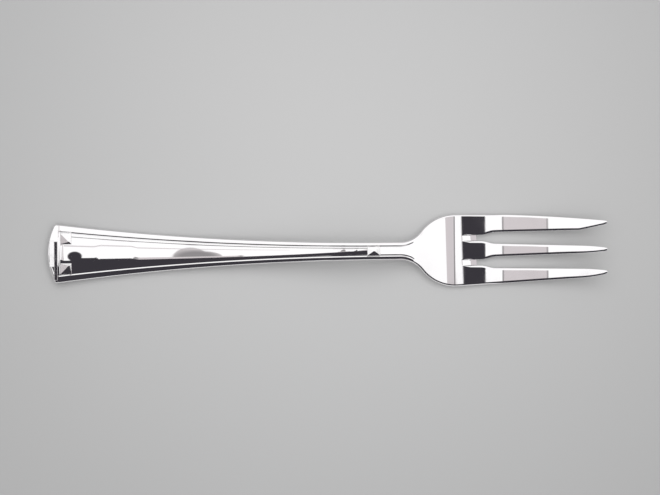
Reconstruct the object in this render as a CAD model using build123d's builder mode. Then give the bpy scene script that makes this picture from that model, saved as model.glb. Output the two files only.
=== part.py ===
# Pastry fork: one piece of sheet metal, blanked, coined, bent and mirror polished.
# X runs from the handle's end to the points, Y across to the cutting tine, Z up from the table.
from build123d import *

import os
from math import hypot, sqrt

# Overall sizes, in millimetres
length = 150.0
head_width = 19.5
neck_width = 4.8
handle_end_width = 16.0
handle_end_radius = 17.0
handle_corner_radius = 0.8

# Lengths along the head, from the points back to the neck
tine_length = 37.2
point_length = 7.3
slot_flare_length = 7.2
slot_ramp_length = 2.9
bowl_flat_lead = 2.3
bowl_flat_length = 7.5
shoulder_lead = 3.2
neck_straight_length = 4.5

# Shoulder radii in plan: the hollow curve out of the neck, then the round one into the head
shoulder_hollow_radius = 7.4
shoulder_round_radius = 11.6

# Side view: where the handle rests, bend radii of the back and of the front, and thickness
rest_at = 22.0
handle_back_bend = 230.0
handle_front_bend = 212.0
neck_back_bend = 28.0
neck_front_bend = 26.0
bowl_back_bend = 32.0
bowl_front_bend = 27.0
handle_thickness = 2.6
head_thickness = 2.0
tip_thickness = 1.1
tip_lift = 6.8

# Tines and slots: widths where the slots are fully open, and where the points start
middle_tine_width = 3.56
slot_width = 3.02
slot_root_radius = 0.85
middle_point_width = 2.14
slot_point_width = 4.06
side_point_width = 2.57
cutting_tip_offset = 2.07
side_tip_offset = 0.97
tip_width = 0.9
tip_round = 0.42
bevel_round = 4.0
edge_round = 0.35
back_chamfer = 0.3

# Handle ornament: a border groove between sloping margins and a band, with a sunk panel inside
frame_end_at = 3.1
margin_end_width = 2.15
margin_neck_width = 1.0
margin_slope = 0.14
groove_width = 0.5
groove_depth = 0.2
groove_run_out = 7.0
groove_section_count = 13
band_end_width = 0.95
band_neck_width = 0.35
panel_edge_sink = 0.16
panel_middle_sink = 0.03
panel_section_count = 12

# Raised blocks: pyramid studs at the frame's corners, a collar at the neck and a tab at the end
stud_size = 3.2
stud_wall = 0.12
stud_rise = 0.35
collar_lead = 4.2
collar_length = 3.5
collar_gap = 0.2
tab_width = 7.0
tab_length = 1.5
tab_rise = 0.05

# Room that a cutting tool takes beyond the metal, and how deep a raised block is seated in it
overrun = 1.0
groove_clear = 0.3
seat_depth = 0.5

# A face whose normal rises by less than this stands upright
upright = 0.01

# Stations are laid off from the handle's end, and the origin is at mid-length
handle_end = Vector(-length / 2, 0, 0)
points_start_at = length - point_length
slot_root_at = length - tine_length
slot_full_at = slot_root_at + slot_flare_length
slot_round_at = slot_root_at + slot_ramp_length + slot_root_radius
bowl_flat_at = slot_root_at - bowl_flat_lead
bowl_flat_end_at = bowl_flat_at + bowl_flat_length
shoulder_end_at = slot_root_at - shoulder_lead

# Shoulder in plan: where the hollow curve starts, and where it turns into the round one
shoulder_rise = (head_width - neck_width) / 2
shoulder_reach = shoulder_hollow_radius + shoulder_round_radius
shoulder_run = sqrt(shoulder_reach**2 - (shoulder_reach - shoulder_rise) ** 2)
shoulder_start_at = shoulder_end_at - shoulder_run
turn_share = shoulder_hollow_radius / shoulder_reach
turn_at = shoulder_start_at + shoulder_run * turn_share
turn_half = neck_width / 2 + shoulder_rise * turn_share
neck_at = shoulder_start_at - neck_straight_length

# Handle end: how far in its corners lie from the end of the round
corner_half = handle_end_width / 2
corner_at = handle_end_radius - sqrt(handle_end_radius**2 - corner_half**2)

# Slots and points, measured out from the middle of the fork
slot_centre = (middle_tine_width + slot_width) / 2
inner_point_edge = middle_point_width / 2 + slot_point_width
cutting_tip = inner_point_edge + cutting_tip_offset
side_tip = inner_point_edge + side_tip_offset

# Ornament lines, as half-widths at the frame's end and at the neck
frame_end_half = corner_half - margin_end_width
frame_neck_half = neck_width / 2 - margin_neck_width
groove_fade_at = neck_at + groove_run_out
collar_at = neck_at - collar_lead

# Back and front of the side view: handle bend and its low point, neck bend, bowl bend and its low point
back_bends = (handle_back_bend, 0, neck_back_bend, bowl_back_bend, 0)
front_bends = (handle_front_bend, handle_thickness, neck_front_bend, bowl_front_bend, head_thickness)


def neck_centre(handle_bend, handle_low, neck_bend, bowl_bend, bowl_low):
    """Station and height of the neck bend's centre, so that it runs into the handle and the bowl."""
    run = bowl_flat_at - rest_at
    fall = (handle_low + handle_bend) - (bowl_low + bowl_bend)
    span = hypot(run, fall)
    to_handle = handle_bend + neck_bend
    to_bowl = bowl_bend + neck_bend
    near = (to_handle**2 - to_bowl**2 + span**2) / (2 * span)
    aside = sqrt(to_handle**2 - near**2)
    station = rest_at + (near * run - aside * fall) / span
    height = handle_low + handle_bend - (near * fall + aside * run) / span
    return station, height


def between(start, end, share):
    """Point at a share of the way from start to end."""
    return tuple(a + (b - a) * share for a, b in zip(start, end))


def handle_height(bend, low, station):
    """Height of a handle bend that is lowest where the handle rests."""
    return low + bend - sqrt(bend**2 - (station - rest_at) ** 2)


def side_line(handle_bend, handle_low, neck_bend, bowl_bend, bowl_low, tip_height):
    """Draws the back or the front of the side view, and returns its two ends."""
    neck = neck_centre(handle_bend, handle_low, neck_bend, bowl_bend, bowl_low)
    handle = (rest_at, handle_low + handle_bend)
    bowl = (bowl_flat_at, bowl_low + bowl_bend)
    into_neck = between(handle, neck, handle_bend / (handle_bend + neck_bend))
    into_bowl = between(bowl, neck, bowl_bend / (bowl_bend + neck_bend))
    start = (-overrun, handle_height(handle_bend, handle_low, -overrun))
    flat_end = (bowl_flat_end_at, bowl_low)
    tip = (length, tip_height)
    handle_arc = ThreePointArc(start, (rest_at, handle_low), into_neck)
    neck_arc = TangentArc(into_neck, into_bowl, tangent=handle_arc % 1)
    TangentArc(into_bowl, (bowl_flat_at, bowl_low), tangent=neck_arc % 1)
    Line((bowl_flat_at, bowl_low), flat_end)
    TangentArc(flat_end, tip, tangent=(1, 0))
    return start, tip


def front_bend(station):
    """Height and slope of the handle's and the neck's front at a station."""
    neck_station, neck_height = neck_centre(*front_bends)
    share = handle_front_bend / (handle_front_bend + neck_front_bend)
    if station < rest_at + (neck_station - rest_at) * share:
        run = station - rest_at
        drop = sqrt(handle_front_bend**2 - run**2)
        return handle_thickness + handle_front_bend - drop, run / drop
    run = station - neck_station
    rise = sqrt(neck_front_bend**2 - run**2)
    return neck_height + rise, -run / rise


def front_plane(station, across=0):
    """Plane that lies on the front at a station, with its X along the fork."""
    height, slope = front_bend(station)
    origin = handle_end + Vector(station, across, height)
    return Plane(origin=origin, x_dir=(1, 0, slope), z_dir=(-slope, 0, 1))


def cross_plane(station):
    """Upright plane across the fork at a station: its X is across, its Y is up."""
    return Plane(origin=handle_end + Vector(station, 0, 0), x_dir=(0, 1, 0), z_dir=(1, 0, 0))


def fan(end_half, neck_half, station):
    """Half-width of a line of the ornament, which fans out from the neck to the handle's end."""
    share = (neck_at - station) / (neck_at - frame_end_at)
    return neck_half + (end_half - neck_half) * share**2


def spread(first, last, count):
    """Evenly spaced stations from first to last."""
    return [first + (last - first) * index / (count - 1) for index in range(count)]


def margin_cut(middle, height, far):
    """Corners of the cut that leaves the groove's V and the margin sloping away from it to far."""
    outward = 1 if far > middle else -1
    top = height + groove_clear
    inner = middle - outward * groove_width / 2 * (groove_depth + groove_clear) / groove_depth
    lip = middle + outward * groove_width / 2
    low = height - margin_slope * abs(far - lip)
    return (inner, top), (middle, height - groove_depth), (lip, height), (far, low), (far, top)


with BuildPart() as fork:
    # Side view, drawn across the full width
    with BuildSketch(Plane.XZ.move(Location(handle_end))):
        with BuildLine():
            back_start, back_tip = side_line(*back_bends, tip_lift)
            front_start, front_tip = side_line(*front_bends, tip_lift + tip_thickness)
            Line(back_start, front_start)
            Line(back_tip, front_tip)
        make_face()
    extrude(amount=head_width / 2 + overrun, both=True)

    # Plan view: the blank's outline round the handle, neck, shoulders and tines
    with BuildSketch(Plane(handle_end)) as plan:
        with BuildLine():
            ThreePointArc((corner_at, -corner_half), (0, 0), (corner_at, corner_half))
            for side in (1, -1):
                neck = (neck_at, side * neck_width / 2)
                shoulder_start = (shoulder_start_at, side * neck_width / 2)
                turn = (turn_at, side * turn_half)
                TangentArc(neck, (corner_at, side * corner_half), tangent=(-1, 0))
                Line(neck, shoulder_start)
                hollow = TangentArc(shoulder_start, turn, tangent=(1, 0))
                TangentArc(turn, (shoulder_end_at, side * head_width / 2), tangent=hollow % 1)
            cutting_corner = (length, cutting_tip + tip_width / 2)
            side_corner = (length, -side_tip - tip_width / 2)
            side_start = (points_start_at, -inner_point_edge - side_point_width)
            TangentArc((shoulder_end_at, head_width / 2), cutting_corner, tangent=(1, 0))
            side_edge = Line((shoulder_end_at, -head_width / 2), side_start)
            TangentArc(side_start, side_corner, tangent=side_edge % 1)
            Line(cutting_corner, side_corner)
        make_face()
        # Slots between the tines, narrowing into round roots
        for side, tip in ((1, cutting_tip), (-1, side_tip)):
            with BuildLine():
                inner_root = (slot_round_at, side * (slot_centre - slot_root_radius))
                outer_root = (slot_round_at, side * (slot_centre + slot_root_radius))
                inner_full = (slot_full_at, side * middle_tine_width / 2)
                outer_full = (slot_full_at, side * (middle_tine_width / 2 + slot_width))
                inner_start = (points_start_at, side * middle_point_width / 2)
                outer_start = (points_start_at, side * inner_point_edge)
                inner_tip = (length, side * tip_width / 2)
                outer_tip = (length, side * (tip - tip_width / 2))
                root = (slot_round_at - slot_root_radius, side * slot_centre)
                ThreePointArc(inner_root, root, outer_root)
                inner_edge = Line(inner_full, inner_start)
                outer_edge = Line(outer_full, outer_start)
                Spline(inner_root, inner_full, tangents=((1, 0), inner_edge % 0))
                Spline(outer_root, outer_full, tangents=((1, 0), outer_edge % 0))
                TangentArc(inner_start, inner_tip, tangent=inner_edge % 1)
                if side > 0:
                    Line(outer_start, outer_tip)
                else:
                    TangentArc(outer_start, outer_tip, tangent=outer_edge % 1)
                Line(inner_tip, outer_tip)
            make_face(mode=Mode.SUBTRACT)
        bevel_corner = handle_end + Vector(points_start_at, inner_point_edge)
        fillet(plan.vertices().sort_by_distance(bevel_corner)[0], radius=bevel_round)
        fillet(plan.vertices().group_by(Axis.X)[-1], radius=tip_round)
        for side in (1, -1):
            handle_corner = handle_end + Vector(corner_at, side * corner_half)
            fillet(plan.vertices().sort_by_distance(handle_corner)[0], radius=handle_corner_radius)
    front_crest = neck_centre(*front_bends)[1] + neck_front_bend
    extrude(amount=front_crest + overrun, mode=Mode.INTERSECT)

    # Edges all round the blank: rounded on the front, broken by a chamfer on the back
    walls = fork.faces().filter_by(lambda face: abs(face.normal_at().Z) < upright)
    backs = fork.faces().filter_by(lambda face: face.normal_at().Z < -upright)
    fronts = fork.faces().filter_by(lambda face: face.normal_at().Z > upright)
    back_rims = walls.edges() & backs.edges()
    front_rims = walls.edges() & fronts.edges()
    chamfer(back_rims, length=back_chamfer)
    fillet(front_rims, radius=edge_round)

    # Ramps ground into the front at the slot roots
    lean = slot_ramp_length / head_thickness
    ramp_at = slot_round_at + slot_ramp_length / 2
    with BuildSketch(Plane(handle_end + Vector(lean * overrun, 0, -overrun))):
        with Locations((ramp_at, slot_centre), (ramp_at, -slot_centre)):
            SlotCenterToCenter(slot_ramp_length, 2 * slot_root_radius)
    extrude(amount=2 * hypot(slot_ramp_length, head_thickness), dir=(-lean, 0, 1), mode=Mode.SUBTRACT)

    # Border groove and margins along both sides, rising out of the metal past the collar
    for side in (1, -1):
        for station in spread(-overrun, groove_fade_at, groove_section_count):
            past_neck = max(0, station - neck_at) / groove_run_out
            height = front_bend(station)[0] + (groove_depth + groove_clear) * past_neck**2
            middle = side * fan(frame_end_half, frame_neck_half, station)
            with BuildSketch(cross_plane(station)):
                Polygon(*margin_cut(middle, height, side * (corner_half + overrun)), align=None)
        loft(mode=Mode.SUBTRACT)

    # Border groove and margin across the handle's end
    with BuildSketch(Plane.XZ.move(Location(handle_end))):
        Polygon(*margin_cut(frame_end_at, front_bend(frame_end_at)[0], -overrun), align=None)
    extrude(amount=frame_end_half, both=True, mode=Mode.SUBTRACT)

    # Sunk panel between the bands, crowned along its middle
    for station in spread(frame_end_at, collar_at, panel_section_count):
        half = fan(frame_end_half - band_end_width, frame_neck_half - band_neck_width, station)
        height = front_bend(station)[0]
        low = height - panel_edge_sink
        top = height + groove_clear
        with BuildSketch(cross_plane(station)):
            with BuildLine():
                ThreePointArc((-half, low), (0, height - panel_middle_sink), (half, low))
                Polyline((half, low), (half, top), (-half, top), (-half, low))
            make_face()
    loft(mode=Mode.SUBTRACT)

    # Studs at the corners of the frame, and the collar that closes the panel at the neck
    stud_at = frame_end_at + stud_size / 2
    stud_across = frame_end_half - stud_size / 2
    blocks = (
        (front_plane(stud_at, stud_across), stud_size, stud_size),
        (front_plane(stud_at, -stud_across), stud_size, stud_size),
        (front_plane(collar_at + collar_length / 2), collar_length, 2 * (frame_neck_half - collar_gap)),
    )
    for plane, along, across in blocks:
        with BuildSketch(plane.offset(-seat_depth)):
            Rectangle(along, across)
        extrude(amount=seat_depth + stud_wall)
        with BuildSketch(plane.offset(stud_wall), mode=Mode.PRIVATE) as base:
            Rectangle(along, across)
        apex = plane.offset(stud_wall + stud_rise).origin
        loft(sections=(base.sketch.face(), Vertex(apex)))

    # Tab on the end margin, level with the panel's band
    tab_at = frame_end_at - groove_width / 2 - tab_length / 2
    with BuildSketch(front_plane(tab_at).offset(-seat_depth)):
        Rectangle(tab_length, tab_width)
    extrude(amount=seat_depth + tab_rise)

fork.part.label = "fork"
os.makedirs("parts", exist_ok=True)
export_step(fork.part, "parts/fork.step")
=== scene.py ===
"""Pastry fork on a pale table: builds the polished fork over its CAD frame, and the studio round it."""
import logging
import math
from dataclasses import dataclass, field
from enum import Enum

import bmesh
import bpy
import numpy as np
from mathutils import Matrix


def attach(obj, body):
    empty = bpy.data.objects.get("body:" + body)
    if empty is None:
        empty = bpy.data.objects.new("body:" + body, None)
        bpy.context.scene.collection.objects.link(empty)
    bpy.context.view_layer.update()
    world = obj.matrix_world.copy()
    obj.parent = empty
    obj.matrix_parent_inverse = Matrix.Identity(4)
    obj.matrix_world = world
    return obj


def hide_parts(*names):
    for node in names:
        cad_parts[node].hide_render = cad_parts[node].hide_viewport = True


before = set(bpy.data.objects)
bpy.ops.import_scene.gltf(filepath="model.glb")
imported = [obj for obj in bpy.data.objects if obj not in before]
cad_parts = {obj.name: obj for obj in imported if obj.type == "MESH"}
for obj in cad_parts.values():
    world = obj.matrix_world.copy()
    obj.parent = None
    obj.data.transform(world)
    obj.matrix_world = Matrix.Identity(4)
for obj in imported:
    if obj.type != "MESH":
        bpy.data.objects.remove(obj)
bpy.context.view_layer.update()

LOG = logging.getLogger("pastry_fork")
MM = 0.001
BODY = "root"
CAD_NODE = "fork"
RGBA = tuple[float, float, float, float]

# Noise values between which haze, polishing lines and tint go from none to full
HAZE_LIMITS = (0.35, 0.75)
LINE_LIMITS = (0.45, 0.7)
TINT_LIMITS = (0.3, 0.7)

# Scale of the patches in which the lines come and go, and the lines' share where they are faintest
LINE_PATCH_SCALE = 90.0
FAINTEST_LINES = 0.15


class Side(Enum):
    """The two long sides of the fork: the cutting tine's, and the plain one."""

    CUTTING = 1
    PLAIN = -1


class Face(Enum):
    """The two broad faces of the fork."""

    FRONT = 1
    BACK = -1


def smoothstep(low: float, high: float, value: np.ndarray) -> np.ndarray:
    """Goes smoothly from 0 at low to 1 at high."""
    share = np.clip((value - low) / (high - low), 0.0, 1.0)
    return share * share * (3.0 - 2.0 * share)


@dataclass(frozen=True)
class Bend:
    """One arc of the side view, from the station where the last one ends to its own end.

    A hollow arc has its centre above the metal, and a round one below it.
    """

    centre: tuple[float, float]
    radius: float
    hollow: bool
    end: float

    def height(self, station: np.ndarray) -> np.ndarray:
        """Height of the arc over each station.

        Args:
            station: stations along the fork.

        Returns:
            The heights above the table, in millimetres.
        """
        run = np.clip(station - self.centre[0], -self.radius, self.radius)
        rise = np.sqrt(self.radius**2 - run**2)
        return self.centre[1] - rise if self.hollow else self.centre[1] + rise


@dataclass(frozen=True)
class SideLine:
    """The front or the back seen from the side: handle, cranked neck, bowl, dish and tines.

    All sizes are in millimetres, and stations run from the handle's end to the points.
    """

    handle_bend: float
    handle_low: float
    neck_bend: float
    bowl_bend: float
    bowl_low: float
    tip_height: float
    dish_bend: float = 181.5
    dish_turn: float = 0.0346
    tine_turn: float = 0.0118
    rest_at: float = 22.0
    bowl_at: float = 110.5
    length: float = 150.0

    def neck_centre(self) -> tuple[float, float]:
        """Centre of the neck's arc, which touches both the handle's and the bowl's.

        Returns:
            Its station and height.
        """
        run = self.bowl_at - self.rest_at
        fall = (self.handle_low + self.handle_bend) - (self.bowl_low + self.bowl_bend)
        span = math.hypot(run, fall)
        to_handle = self.handle_bend + self.neck_bend
        to_bowl = self.bowl_bend + self.neck_bend
        near = (to_handle**2 - to_bowl**2 + span**2) / (2 * span)
        aside = math.sqrt(to_handle**2 - near**2)
        station = self.rest_at + (near * run - aside * fall) / span
        height = self.handle_low + self.handle_bend - (near * fall + aside * run) / span
        return station, height

    def bends(self) -> list[Bend]:
        """Works out the arcs, each running into the next.

        Returns:
            The arcs from the handle's end to the points.
        """
        neck = self.neck_centre()
        handle = (self.rest_at, self.handle_low + self.handle_bend)
        bowl = (self.bowl_at, self.bowl_low + self.bowl_bend)
        handle_share = self.handle_bend / (self.handle_bend + self.neck_bend)
        bowl_share = self.bowl_bend / (self.bowl_bend + self.neck_bend)
        into_neck = handle[0] + (neck[0] - handle[0]) * handle_share
        into_bowl = bowl[0] + (neck[0] - bowl[0]) * bowl_share
        lean = (math.sin(self.dish_turn), math.cos(self.dish_turn))
        join = (bowl[0] - self.bowl_bend * lean[0], bowl[1] - self.bowl_bend * lean[1])
        dish = (join[0] + self.dish_bend * lean[0], join[1] + self.dish_bend * lean[1])
        leave = (
            dish[0] + self.dish_bend * math.sin(self.tine_turn),
            dish[1] - self.dish_bend * math.cos(self.tine_turn),
        )
        chord = (self.length - leave[0], self.tip_height - leave[1])
        inward = (-math.sin(self.tine_turn), math.cos(self.tine_turn))
        tine_bend = (chord[0] ** 2 + chord[1] ** 2) / (2 * (chord[0] * inward[0] + chord[1] * inward[1]))
        tine = (leave[0] + tine_bend * inward[0], leave[1] + tine_bend * inward[1])
        return [
            Bend(handle, self.handle_bend, True, into_neck),
            Bend(neck, self.neck_bend, False, into_bowl),
            Bend(bowl, self.bowl_bend, True, join[0]),
            Bend(dish, self.dish_bend, True, leave[0]),
            Bend(tine, tine_bend, True, self.length),
        ]

    def height(self, station: np.ndarray) -> np.ndarray:
        """Height over each station.

        Args:
            station: stations along the fork.

        Returns:
            The heights above the table.
        """
        bends = self.bends()
        conditions = [station <= bend.end for bend in bends[:-1]]
        values = [bend.height(station) for bend in bends]
        return np.select(conditions, values[:-1], values[-1])


FRONT_LINE = SideLine(
    handle_bend=212.0,
    handle_low=2.6,
    neck_bend=26.0,
    bowl_bend=27.0,
    bowl_low=2.0,
    tip_height=7.9,
)
BACK_LINE = SideLine(
    handle_bend=230.0,
    handle_low=0.0,
    neck_bend=28.0,
    bowl_bend=32.0,
    bowl_low=0.0,
    tip_height=6.8,
    dish_bend=4700.0,
    dish_turn=0.0008,
    tine_turn=0.0008,
)


@dataclass(frozen=True)
class Outline:
    """The fork in plan: half-widths of its sides and edges of its slots, in millimetres."""

    length: float = 150.0
    head_half: float = 9.75
    neck_half: float = 2.4
    corner_half: float = 8.0
    end_radius: float = 17.0
    corner_radius: float = 0.8
    neck_at: float = 90.0
    shoulder_end_at: float = 109.6
    hollow_radius: float = 7.4
    round_radius: float = 11.6
    slot_root_at: float = 112.8
    slot_full_at: float = 120.0
    slot_ramp: float = 2.9
    slot_radius: float = 0.85
    slot_centre: float = 3.29
    middle_half: float = 1.78
    slot_outer: float = 4.80
    points_at: float = 142.7
    middle_point_half: float = 1.07
    inner_point_edge: float = 5.13
    side_point_edge: float = 7.70
    cutting_tip: float = 7.2
    side_tip: float = 6.1
    tip_half: float = 0.45
    tip_round: float = 0.42
    bevel_round: float = 4.0

    def shoulder(self) -> tuple[float, float]:
        """Lays the two shoulder curves out along the fork.

        Returns:
            Stations where the hollow curve starts, and where it turns into the round one.
        """
        rise = self.head_half - self.neck_half
        reach = self.hollow_radius + self.round_radius
        run = math.sqrt(reach**2 - (reach - rise) ** 2)
        start = self.shoulder_end_at - run
        return start, start + run * self.hollow_radius / reach

    def side_centre(self) -> tuple[float, float]:
        """Works out the arc along the handle's side.

        Returns:
            Station of its centre, and its radius, which is its height above the neck's line.
        """
        corner_at = self.end_radius - math.sqrt(self.end_radius**2 - self.corner_half**2)
        run = self.neck_at - corner_at
        rise = self.corner_half - self.neck_half
        return self.neck_at, (run**2 + rise**2) / (2 * rise)

    def half(self, station: np.ndarray, side: Side) -> np.ndarray:
        """Half-width of the outline on one side.

        Args:
            station: stations along the fork.
            side: the side to measure.

        Returns:
            Distance of the outer edge from the middle.
        """
        start, turn = self.shoulder()
        side_at, side_radius = self.side_centre()
        handle_run = np.clip(side_at - station, 0.0, side_radius)
        handle = self.neck_half + side_radius - np.sqrt(side_radius**2 - handle_run**2)
        hollow_run = np.clip(station - start, 0.0, self.hollow_radius)
        hollow = self.neck_half + self.hollow_radius - np.sqrt(self.hollow_radius**2 - hollow_run**2)
        round_run = np.clip(self.shoulder_end_at - station, 0.0, self.round_radius)
        rounded = self.head_half - self.round_radius + np.sqrt(self.round_radius**2 - round_run**2)
        head = self.cutting_edge(station) if side is Side.CUTTING else self.side_edge(station)
        return np.select(
            [station <= start, station <= turn, station <= self.shoulder_end_at],
            [handle, hollow, rounded],
            head,
        )

    def cutting_edge(self, station: np.ndarray) -> np.ndarray:
        """Outer edge of the cutting tine, one long arc from the shoulder to the point.

        Args:
            station: stations along the fork.

        Returns:
            Offsets of the edge from the middle.
        """
        run = self.length - self.shoulder_end_at
        fall = self.head_half - self.cutting_tip - self.tip_half
        radius = (run**2 + fall**2) / (2 * fall)
        return self.head_half - radius + np.sqrt(radius**2 - (station - self.shoulder_end_at) ** 2)

    def side_edge(self, station: np.ndarray) -> np.ndarray:
        """Outer edge of the plain side tine: straight, then curving in to the point."""
        start = (self.shoulder_end_at, self.head_half)
        return self.run_in(station, start, self.side_point_edge, self.side_tip + self.tip_half)

    def run_in(self, station: np.ndarray, start: tuple[float, float], knee: float, tip: float) -> np.ndarray:
        """A straight edge from start to a knee at the points, then an arc in line with it to the tip.

        Args:
            station: stations along the fork.
            start: station and offset where the straight stretch starts.
            knee: offset where the points start.
            tip: offset at the fork's end.

        Returns:
            Offsets of the edge from the middle.
        """
        slope = (knee - start[1]) / (self.points_at - start[0])
        bend = (tip - knee - slope * (self.length - self.points_at)) / (self.length - self.points_at) ** 2
        run = station - self.points_at
        return knee + slope * run + np.where(run > 0.0, bend * run**2, 0.0)

    def flare(self, station: np.ndarray, root: float, full: float, slope: float) -> np.ndarray:
        """Edge of a slot as it widens from its root to its full width.

        Args:
            station: stations along the fork.
            root: offset at the root.
            full: offset where the slot is fully open.
            slope: slope of the straight edge that follows.

        Returns:
            Offsets of the edge from the middle.
        """
        start = self.slot_root_at + self.slot_ramp + self.slot_radius
        run = self.slot_full_at - start
        share = np.clip((station - start) / run, 0.0, 1.0)
        keep = 2 * share**3 - 3 * share**2 + 1
        return keep * root + (1 - keep) * full + (share**3 - share**2) * run * slope

    def slot_inner(self, station: np.ndarray) -> np.ndarray:
        """Edge of a slot along the middle tine.

        Args:
            station: stations along the fork.

        Returns:
            Offsets of the edge from the middle.
        """
        start = (self.slot_full_at, self.middle_half)
        slope = (self.middle_point_half - self.middle_half) / (self.points_at - self.slot_full_at)
        root = self.slot_centre - self.slot_radius
        narrow = self.flare(station, root, self.middle_half, slope)
        open_edge = self.run_in(station, start, self.middle_point_half, self.tip_half)
        return np.where(station < self.slot_full_at, narrow, open_edge)

    def slot_edge(self, station: np.ndarray, side: Side) -> np.ndarray:
        """Edge of a slot along an outer tine; on the cutting tine it ends in the bevel.

        Args:
            station: stations along the fork.
            side: the side that the tine is on.

        Returns:
            Offsets of the edge from the middle.
        """
        start = (self.slot_full_at, self.slot_outer)
        slope = (self.inner_point_edge - self.slot_outer) / (self.points_at - self.slot_full_at)
        narrow = self.flare(station, self.slot_centre + self.slot_radius, self.slot_outer, slope)
        if side is Side.PLAIN:
            open_edge = self.run_in(station, start, self.inner_point_edge, self.side_tip - self.tip_half)
        else:
            run = station - self.points_at
            tip = self.cutting_tip - self.tip_half
            bevel = (tip - self.inner_point_edge) / (self.length - self.points_at)
            ease = self.bevel_round * (bevel - slope) / 2
            blend = np.clip((run + ease) / (2 * ease), 0.0, 1.0)
            knee = self.inner_point_edge + slope * run
            open_edge = knee + (bevel - slope) * (np.where(run > ease, run, ease * blend**2))
        return np.where(station < self.slot_full_at, narrow, open_edge)

    def end_corner(self) -> tuple[np.ndarray, np.ndarray, np.ndarray]:
        """Rounded corner of the handle's end on the cutting side.

        Returns:
            Centre of the corner's arc, and its outward directions on the end arc and on the side.
        """
        end = np.array([self.end_radius, 0.0])
        side_at, side_radius = self.side_centre()
        beyond = np.array([side_at, self.neck_half + side_radius])
        from_end = self.end_radius - self.corner_radius
        from_side = side_radius + self.corner_radius
        span = np.linalg.norm(beyond - end)
        along = (beyond - end) / span
        near = (from_end**2 - from_side**2 + span**2) / (2 * span)
        aside = math.sqrt(from_end**2 - near**2)
        centre = end + along * near + np.array([-along[1], along[0]]) * aside
        to_end = (centre - end) / from_end
        to_side = (beyond - centre) / from_side
        return centre, to_end, to_side


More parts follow.
